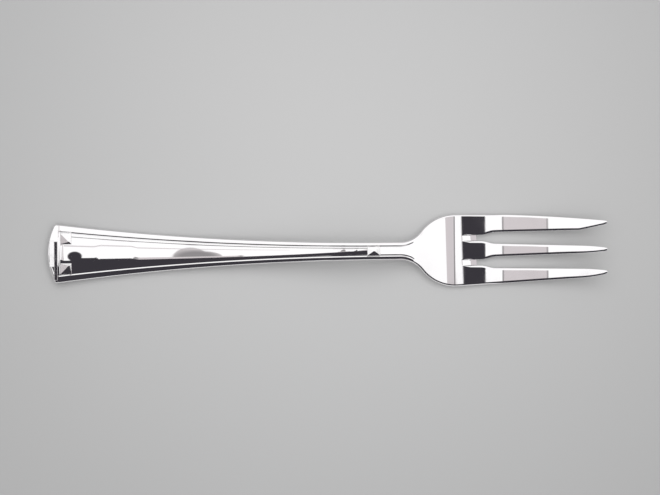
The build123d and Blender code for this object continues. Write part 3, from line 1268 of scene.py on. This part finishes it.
@dataclass
class NodeSheet:
    """A node tree with short ways to add and join nodes."""

    tree: bpy.types.NodeTree

    def node(self, kind: str, **settings: object) -> bpy.types.Node:
        """Adds a node and sets its options.

        Args:
            kind: the node's type.
            **settings: its options by name.

        Returns:
            The node.
        """
        made = self.tree.nodes.new(kind)
        for name, value in settings.items():
            setattr(made, name, value)
        return made

    def join(self, source: object, target: bpy.types.NodeSocket) -> None:
        """Feeds a socket from another socket, or sets it to a plain value.

        Args:
            source: a socket or a value.
            target: the socket to feed.
        """
        if isinstance(source, bpy.types.NodeSocket):
            self.tree.links.new(source, target)
        else:
            target.default_value = source

    def math(self, operation: str, first: object, second: object = 0.0) -> bpy.types.NodeSocket:
        """Adds a math node.

        Args:
            operation: what it does.
            first: a socket or a value.
            second: a socket or a value.

        Returns:
            The node's result.
        """
        made = self.node("ShaderNodeMath", operation=operation)
        self.join(first, made.inputs[0])
        self.join(second, made.inputs[1])
        return made.outputs[0]

    def span(
        self, value: object, low: float, high: float, start: object, stop: object
    ) -> bpy.types.NodeSocket:
        """Maps a range smoothly onto another.

        Args:
            value: the value to map.
            low: where the range starts.
            high: where the range ends.
            start: result at low and below.
            stop: result at high and above.

        Returns:
            The mapped value.
        """
        made = self.node("ShaderNodeMapRange", interpolation_type="SMOOTHSTEP")
        settings = {"Value": value, "From Min": low, "From Max": high, "To Min": start, "To Max": stop}
        for name, item in settings.items():
            self.join(item, made.inputs[name])
        return made.outputs["Result"]

    def mix(self, share: object, first: object, second: object) -> bpy.types.NodeSocket:
        """Mixes two colours.

        Args:
            share: share of the second colour.
            first: the first colour.
            second: the second colour.

        Returns:
            The mixed colour.
        """
        made = self.node("ShaderNodeMix", data_type="RGBA")
        self.join(share, made.inputs[0])
        self.join(first, made.inputs[6])
        self.join(second, made.inputs[7])
        return made.outputs[2]


class SurfaceEffect(Enum):
    """Surface effects that more than one material uses, each a shader node group."""

    POLISH_HAZE = "polish_haze"
    HAIR_LINES = "hair_lines"
    TINT_DRIFT = "tint_drift"

    def group(self) -> bpy.types.NodeTree:
        """Gives the effect's node group, built the first time it is asked for.

        Returns:
            The group.
        """
        made = bpy.data.node_groups.get(self.value)
        if made is None:
            made = bpy.data.node_groups.new(self.value, "ShaderNodeTree")
            builders = {
                SurfaceEffect.POLISH_HAZE: polish_haze,
                SurfaceEffect.HAIR_LINES: hair_lines,
                SurfaceEffect.TINT_DRIFT: tint_drift,
            }
            builders[self](made)
        return made


def open_group(tree: bpy.types.NodeTree, inputs: dict[str, str], output: tuple[str, str]) -> tuple:
    """Gives a node group its sockets.

    Args:
        tree: the group.
        inputs: socket kinds by name.
        output: name and kind of the one output.

    Returns:
        The sheet to draw on, the input node and the output node.
    """
    for name, kind in inputs.items():
        tree.interface.new_socket(name=name, in_out="INPUT", socket_type=kind)
    tree.interface.new_socket(name=output[0], in_out="OUTPUT", socket_type=output[1])
    sheet = NodeSheet(tree)
    return sheet, sheet.node("NodeGroupInput"), sheet.node("NodeGroupOutput")


def polish_haze(tree: bpy.types.NodeTree) -> None:
    """Roughness that drifts between a bright and a hazy polish, in soft clouds along the metal.

    Args:
        tree: the group to fill.
    """
    floats = {"Scale": "NodeSocketFloat", "Bright": "NodeSocketFloat", "Hazy": "NodeSocketFloat"}
    sheet, source, target = open_group(tree, floats, ("Roughness", "NodeSocketFloat"))
    coords = sheet.node("ShaderNodeTexCoord")
    noise = sheet.node("ShaderNodeTexNoise")
    noise.inputs["Detail"].default_value = 5.0
    noise.inputs["Roughness"].default_value = 0.6
    sheet.join(coords.outputs["Object"], noise.inputs["Vector"])
    sheet.join(source.outputs["Scale"], noise.inputs["Scale"])
    haze = sheet.span(noise.outputs["Fac"], *HAZE_LIMITS, source.outputs["Bright"], source.outputs["Hazy"])
    sheet.join(haze, target.inputs["Roughness"])


def hair_lines(tree: bpy.types.NodeTree) -> None:
    """Height of fine polishing lines that run along the metal and come and go.

    Args:
        tree: the group to fill.
    """
    floats = {"Scale": "NodeSocketFloat", "Stretch": "NodeSocketFloat"}
    sheet, source, target = open_group(tree, floats, ("Height", "NodeSocketFloat"))
    coords = sheet.node("ShaderNodeTexCoord")
    squeeze = sheet.node("ShaderNodeCombineXYZ")
    sheet.join(source.outputs["Stretch"], squeeze.inputs["X"])
    squeeze.inputs["Y"].default_value = 1.0
    squeeze.inputs["Z"].default_value = 1.0
    along = sheet.node("ShaderNodeVectorMath", operation="MULTIPLY")
    sheet.join(coords.outputs["Object"], along.inputs[0])
    sheet.join(squeeze.outputs[0], along.inputs[1])
    lines = sheet.node("ShaderNodeTexNoise")
    lines.inputs["Detail"].default_value = 3.0
    sheet.join(along.outputs[0], lines.inputs["Vector"])
    sheet.join(source.outputs["Scale"], lines.inputs["Scale"])
    patches = sheet.node("ShaderNodeTexNoise")
    patches.inputs["Scale"].default_value = LINE_PATCH_SCALE
    sheet.join(coords.outputs["Object"], patches.inputs["Vector"])
    shown = sheet.span(patches.outputs["Fac"], *LINE_LIMITS, FAINTEST_LINES, 1.0)
    sheet.join(sheet.math("MULTIPLY", lines.outputs["Fac"], shown), target.inputs["Height"])


def tint_drift(tree: bpy.types.NodeTree) -> None:
    """Colour that drifts between two close tints in broad patches.

    Args:
        tree: the group to fill.
    """
    sockets = {"Scale": "NodeSocketFloat", "First": "NodeSocketColor", "Second": "NodeSocketColor"}
    sheet, source, target = open_group(tree, sockets, ("Color", "NodeSocketColor"))
    coords = sheet.node("ShaderNodeTexCoord")
    noise = sheet.node("ShaderNodeTexNoise")
    noise.inputs["Detail"].default_value = 2.0
    sheet.join(coords.outputs["Object"], noise.inputs["Vector"])
    sheet.join(source.outputs["Scale"], noise.inputs["Scale"])
    share = sheet.span(noise.outputs["Fac"], *TINT_LIMITS, 0.0, 1.0)
    drift = sheet.mix(share, source.outputs["First"], source.outputs["Second"])
    sheet.join(drift, target.inputs["Color"])


@dataclass(frozen=True)
class SurfaceFinish:
    """A finish: its tints, gloss and fine surface, made into one material."""

    name: str
    first_tint: RGBA
    second_tint: RGBA
    tint_scale: float
    metallic: float
    bright: float
    hazy: float
    haze_scale: float
    line_scale: float
    line_stretch: float
    line_depth: float

    def effect(self, sheet: NodeSheet, effect: SurfaceEffect, **values: object) -> bpy.types.NodeSocket:
        """Places an effect's group with this finish's values.

        Args:
            sheet: the material's nodes.
            effect: the effect to place.
            **values: the group's inputs.

        Returns:
            The group's output.
        """
        placed = sheet.node("ShaderNodeGroup", node_tree=effect.group())
        for name, value in values.items():
            placed.inputs[name].default_value = value
        return placed.outputs[0]

    def tint(self, sheet: NodeSheet) -> bpy.types.NodeSocket:
        """Colour of the surface, drifting between the two tints."""
        tints = {"First": self.first_tint, "Second": self.second_tint}
        return self.effect(sheet, SurfaceEffect.TINT_DRIFT, Scale=self.tint_scale, **tints)

    def material(self) -> bpy.types.Material:
        """Makes the material, or gives the one already made.

        Returns:
            The material.
        """
        made = bpy.data.materials.get(self.name)
        if made is not None:
            return made
        made = bpy.data.materials.new(self.name)
        made.use_nodes = True
        sheet = NodeSheet(made.node_tree)
        shader = made.node_tree.nodes["Principled BSDF"]
        shader.inputs["Metallic"].default_value = self.metallic
        tint = self.tint(sheet)
        haze_values = {"Scale": self.haze_scale, "Bright": self.bright, "Hazy": self.hazy}
        haze = self.effect(sheet, SurfaceEffect.POLISH_HAZE, **haze_values)
        line_values = {"Scale": self.line_scale, "Stretch": self.line_stretch}
        lines = self.effect(sheet, SurfaceEffect.HAIR_LINES, **line_values)
        bump = sheet.node("ShaderNodeBump")
        bump.inputs["Strength"].default_value = self.line_depth
        bump.inputs["Distance"].default_value = MM
        sheet.join(lines, bump.inputs["Height"])
        sheet.join(tint, shader.inputs["Base Color"])
        sheet.join(haze, shader.inputs["Roughness"])
        sheet.join(bump.outputs["Normal"], shader.inputs["Normal"])
        return made


@dataclass(frozen=True)
class TableFinishWithPaintedLight(SurfaceFinish):
    """A matte finish with a painted pool of light: it darkens away from a pale pool in the middle of the
    table, in metres.
    """

    # Middle, reach and fall-off of the painted pool of light on the table
    painted_light_centre: tuple[float, float, float] = (0.005, 0.032, 0.0)
    painted_light_reach: float = 0.17
    painted_light_fall: float = 0.72

    def tint(self, sheet: NodeSheet) -> bpy.types.NodeSocket:
        """Colour of the table with its painted pool of light, palest in the pool's middle and darker away
        from it.

        Args:
            sheet: the material's nodes.

        Returns:
            The colour.
        """
        even = super().tint(sheet)
        # Painted light: the even colour is darkened with distance from the pool's middle
        coords = sheet.node("ShaderNodeTexCoord")
        away = sheet.node("ShaderNodeVectorMath", operation="DISTANCE")
        sheet.join(coords.outputs["Object"], away.inputs[0])
        sheet.join(self.painted_light_centre, away.inputs[1])
        keep = sheet.span(away.outputs["Value"], 0.0, self.painted_light_reach, 1.0, self.painted_light_fall)
        painted_light_dim = sheet.node("ShaderNodeMix", data_type="RGBA", blend_type="MULTIPLY")
        painted_light_dim.inputs[0].default_value = 1.0
        sheet.join(even, painted_light_dim.inputs[6])
        sheet.join(keep, painted_light_dim.inputs[7])
        return painted_light_dim.outputs[2]


MIRROR_POLISH = SurfaceFinish(
    name="mirror_polish",
    first_tint=(0.93, 0.915, 0.92, 1.0),
    second_tint=(0.9, 0.89, 0.9, 1.0),
    tint_scale=40.0,
    metallic=1.0,
    bright=0.012,
    hazy=0.036,
    haze_scale=120.0,
    line_scale=2600.0,
    line_stretch=0.06,
    line_depth=0.0005,
)
COINED_POLISH = SurfaceFinish(
    name="coined_polish",
    first_tint=(0.92, 0.905, 0.91, 1.0),
    second_tint=(0.87, 0.86, 0.87, 1.0),
    tint_scale=120.0,
    metallic=1.0,
    bright=0.03,
    hazy=0.08,
    haze_scale=260.0,
    line_scale=2600.0,
    line_stretch=0.3,
    line_depth=0.002,
)
# Table colour, with a painted pool of light that darkens towards the table's edges
TABLE_PAINT_AND_LIGHT_POOL = TableFinishWithPaintedLight(
    name="table_paint_and_light_pool",
    first_tint=(0.53, 0.529, 0.53, 1.0),
    second_tint=(0.522, 0.523, 0.525, 1.0),
    tint_scale=6.0,
    metallic=0.0,
    bright=0.55,
    hazy=0.62,
    haze_scale=30.0,
    line_scale=900.0,
    line_stretch=1.0,
    line_depth=0.004,
)


@dataclass
class PastryFork:
    """The whole fork: its skin, the studs, the collar, and the tab and the flat strip at the end.

    All sizes are in millimetres.
    """

    blank: ForkBlank = field(default_factory=ForkBlank)
    stud_size: float = 3.0
    stud_wall: float = 0.12
    stud_rise: float = 0.35
    stud_peak: float = 0.6
    collar_at: float = 85.8
    collar_length: float = 3.5
    collar_width: float = 2.4
    collar_rise: float = 0.42
    land_at: float = 1.75
    land_length: float = 0.93
    land_reach: tuple[float, float] = (-7.1, 3.3)
    land_rise: float = 0.02
    land_lean: float = 0.028
    tab_length: float = 1.2
    tab_rise: float = 0.06
    tab_lean: float = 0.055

    def blocks(self) -> list[RaisedBlock]:
        """Places the raised blocks on the lines of the ornament.

        Returns:
            The blocks.
        """
        lines = self.blank.ornament
        inset = (lines.groove_width + self.stud_size) / 2
        stud_at = lines.frame_end_at + inset
        stud_off = lines.frame_end_half - inset
        tab_at = self.land_at - self.tab_length / 2
        land_at = self.land_at + self.land_length / 2
        land_off = sum(self.land_reach) / 2
        collar_at = self.collar_at + self.collar_length / 2
        collar = (self.collar_length, self.collar_width)
        tab = (self.tab_length, 2 * lines.tab_half)
        land = (self.land_length, self.land_reach[1] - self.land_reach[0])
        size, wall, rise, peak = self.stud_size, self.stud_wall, self.stud_rise, self.stud_peak
        return [
            RaisedBlock("corner_stud_cutting", stud_at, stud_off, size, size, wall, rise, (peak, -peak)),
            RaisedBlock("corner_stud_plain", stud_at, -stud_off, size, size, wall, rise, (peak, peak)),
            RaisedBlock("neck_collar", collar_at, 0.0, *collar, wall, self.collar_rise),
            RaisedBlock("end_tab", tab_at, 0.0, *tab, self.tab_rise, lean=self.tab_lean),
            RaisedBlock("end_land", land_at, land_off, *land, self.land_rise, lean=self.land_lean),
        ]

    def build(self) -> list[bpy.types.Object]:
        """Builds and dresses every piece, and sets it on the frame.

        Returns:
            The pieces.
        """
        skin = self.blank.build()
        self.dress(skin, MIRROR_POLISH)
        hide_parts(CAD_NODE)
        pieces = [skin]
        for block in self.blocks():
            piece = block.build(self.blank)
            self.dress(piece, COINED_POLISH)
            pieces.append(piece)
        return pieces

    @staticmethod
    def dress(piece: bpy.types.Object, finish: SurfaceFinish) -> None:
        """Gives a piece its finish, and lets it ride on the frame.

        Args:
            piece: the piece to dress.
            finish: its finish.
        """
        piece.data.materials.append(finish.material())
        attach(piece, BODY)


class CardShape(Enum):
    """Outline of a studio card."""

    SQUARE = "square"
    ROUND = "round"


@dataclass(frozen=True)
class StudioCard:
    """A card hung over the table, as the metal sees it.

    Its limits are tilts from straight up, as tangents: along the fork towards the points, and across
    it towards the cutting side. With a lean, its limits along the fork move with the tilt across it.
    """

    along: tuple[float, float]
    across: tuple[float, float]
    colour: RGBA
    soft: float = 0.004
    shape: CardShape = CardShape.SQUARE
    lean: float = 0.0

    def mask(self, sheet: NodeSheet, along: object, across: object) -> bpy.types.NodeSocket:
        """Share of the card in each direction.

        Args:
            sheet: the world's nodes.
            along: tilt along the fork.
            across: tilt across the fork.

        Returns:
            One on the card, zero off it.
        """
        if self.shape is CardShape.ROUND:
            parts = []
            for value, (low, high) in ((along, self.along), (across, self.across)):
                middle, half = (low + high) / 2, (high - low) / 2
                share = sheet.math("DIVIDE", sheet.math("SUBTRACT", value, middle), half)
                parts.append(sheet.math("MULTIPLY", share, share))
            spread = self.soft / (self.along[1] - self.along[0])
            return sheet.span(sheet.math("ADD", *parts), 1.0 - 2 * spread, 1.0 + 2 * spread, 1.0, 0.0)
        mask = None
        if self.lean:
            along = sheet.math("SUBTRACT", along, sheet.math("MULTIPLY", across, self.lean))
        for value, (low, high) in ((along, self.along), (across, self.across)):
            for start, stop, limit in ((0.0, 1.0, low), (1.0, 0.0, high)):
                edge = sheet.span(value, limit - self.soft, limit + self.soft, start, stop)
                mask = edge if mask is None else sheet.math("MULTIPLY", mask, edge)
        return mask


@dataclass
class Studio:
    """Table, light and the cards that the polished metal reflects. Lengths are in metres."""

    table_side: float = 4.0
    table_drop: float = 0.00004
    fill_low: float = 0.05
    fill_high: float = 0.84
    key_strength: float = 1.6
    key_spread: float = math.radians(60.0)
    key_lean: float = math.radians(-10.0)
    backdrop: RGBA = (0.445, 0.443, 0.445, 1.0)
    white: RGBA = (1.12, 1.12, 1.12, 1.0)
    grey: RGBA = (0.68, 0.64, 0.652, 1.0)
    dusk: RGBA = (0.56, 0.535, 0.54, 1.0)
    shade: RGBA = (0.3, 0.29, 0.295, 1.0)
    wall: RGBA = (0.34, 0.335, 0.34, 1.0)
    black: RGBA = (0.045, 0.042, 0.05, 1.0)
    horizon: float = 0.02

    def cards(self) -> list[StudioCard]:
        """Lists the cards that hang round the fork.

        Returns:
            The cards, from the lowest layer to the top one.
        """
        return [
            # Dim walls of the room, past the cutting side and past the handle's end
            StudioCard((-60.0, 60.0), (1.9, 60.0), self.wall, 0.7),
            StudioCard((-60.0, -1.7), (-60.0, 60.0), self.wall, 0.6),
            # Panel that shows as the band across the shoulders
            StudioCard((0.12, 0.295), (-0.3, 0.3), self.grey, 0.006, lean=1.6),
            # Round screens with a dimmer middle, on the handle
            StudioCard((-0.237, -0.153), (-0.148, 0.148), self.dusk, 0.006, CardShape.ROUND),
            StudioCard((-0.271, -0.199), (-0.085, 0.085), self.dusk, 0.006, CardShape.ROUND),
            StudioCard((-0.26, -0.155), (-0.1, 0.1), self.shade, 0.03, CardShape.ROUND),
            # Panel that shows on the tines, and its darker edges
            StudioCard((-0.32, -0.07), (-0.5, 0.0102), self.grey, 0.001),
            StudioCard((-0.0715, -0.0635), (-0.016, 0.0135), self.shade, 0.003),
            StudioCard((-0.322, -0.314), (-0.018, 0.0165), self.shade, 0.006),
            # Rail that shows as a thin line along the handle, and the edge of the shoulders' panel
            StudioCard((-0.45, 0.12), (0.121, 0.132), self.grey, 0.003),
            StudioCard((0.115, 0.135), (-0.016, 0.016), self.shade, 0.003),
            # Dark cloth on the plain side, the dark gap over the slots' roots, and the camera
            StudioCard((-0.75, 6.0), (-2.6, -0.0128), self.black, 0.001),
            StudioCard((0.024, 0.0835), (-0.3, 0.0115), self.black, 0.002),
            StudioCard((0.057, 0.09), (-0.02, 0.074), self.black, 0.004, CardShape.ROUND),
            # Low panel past the points
            StudioCard((2.35, 60.0), (-60.0, 60.0), self.grey, 0.08),
        ]

    def build(self) -> None:
        """Builds the table, the lamp and the world."""
        self.build_table()
        self.build_key()
        self.build_world()

    def build_table(self) -> None:
        """Lays the pale table under the fork."""
        half = self.table_side / 2
        corners = [(-half, -half, -self.table_drop), (half, -half, -self.table_drop)]
        corners += [(half, half, -self.table_drop), (-half, half, -self.table_drop)]
        mesh = bpy.data.meshes.new("table")
        mesh.from_pydata(corners, [], [(0, 1, 2, 3)])
        table = bpy.data.objects.new("table", mesh)
        bpy.context.scene.collection.objects.link(table)
        mesh.materials.append(TABLE_PAINT_AND_LIGHT_POOL.material())

    def build_key(self) -> None:
        """Lights the table softly from over the cutting side, out of the metal's sight."""
        lamp = bpy.data.lights.new("key", "SUN")
        lamp.energy = self.key_strength
        lamp.angle = self.key_spread
        key = bpy.data.objects.new("key", lamp)
        key.rotation_euler = (self.key_lean, 0.0, 0.0)
        key.visible_glossy = False
        bpy.context.scene.collection.objects.link(key)

    def build_world(self) -> None:
        """Makes the world: cards for the metal, light from overhead for the table, a pale backdrop."""
        world = bpy.data.worlds.new("studio")
        bpy.context.scene.world = world
        world.use_nodes = True
        sheet = NodeSheet(world.node_tree)
        coords = sheet.node("ShaderNodeTexCoord")
        split = sheet.node("ShaderNodeSeparateXYZ")
        sheet.join(coords.outputs["Generated"], split.inputs[0])
        up = sheet.math("MAXIMUM", split.outputs["Z"], self.horizon)
        along = sheet.math("DIVIDE", split.outputs["X"], up)
        across = sheet.math("DIVIDE", split.outputs["Y"], up)
        colour = self.white
        for card in self.cards():
            colour = sheet.mix(card.mask(sheet, along, across), colour, card.colour)
        path = sheet.node("ShaderNodeLightPath")
        fill = sheet.span(split.outputs["Z"], 0.0, 1.0, self.fill_low, self.fill_high)
        lit = sheet.mix(path.outputs["Is Glossy Ray"], fill, colour)
        seen = sheet.mix(path.outputs["Is Camera Ray"], lit, self.backdrop)
        sheet.join(seen, world.node_tree.nodes["Background"].inputs["Color"])


@dataclass
class PhotoCamera:
    """Camera straight over the fork, framed as the photograph is.

    Its sizes are in millimetres, and its sight is in metres.
    """

    frame_pixels: int = 660
    pixel_size: float = 0.2688
    height: float = 950.0
    focus_height: float = 2.5
    centre: tuple[float, float] = (0.87, 1.07)
    turn: float = math.radians(-0.5)
    sensor: float = 36.0
    sight: float = 100.0

    def build(self) -> None:
        """Makes the camera and sets it as the scene's."""
        camera = bpy.data.cameras.new("camera")
        camera.sensor_width = self.sensor
        camera.lens = self.sensor * (self.height - self.focus_height) / (self.frame_pixels * self.pixel_size)
        camera.clip_end = self.sight
        eye = bpy.data.objects.new("camera", camera)
        eye.location = (self.centre[0] * MM, self.centre[1] * MM, self.height * MM)
        eye.rotation_euler = (0.0, 0.0, self.turn)
        bpy.context.scene.collection.objects.link(eye)
        bpy.context.scene.camera = eye
        bpy.context.scene.view_settings.view_transform = "Standard"


def main() -> None:
    """Builds the fork, the studio and the camera in order."""
    logging.basicConfig(level=logging.INFO, format="%(name)s: %(message)s")
    for piece in PastryFork().build():
        LOG.info("%s: %d vertices", piece.name, len(piece.data.vertices))
    Studio().build()
    LOG.info("studio: table, key lamp and cards")
    PhotoCamera().build()


if __name__ == "__main__":
    main()
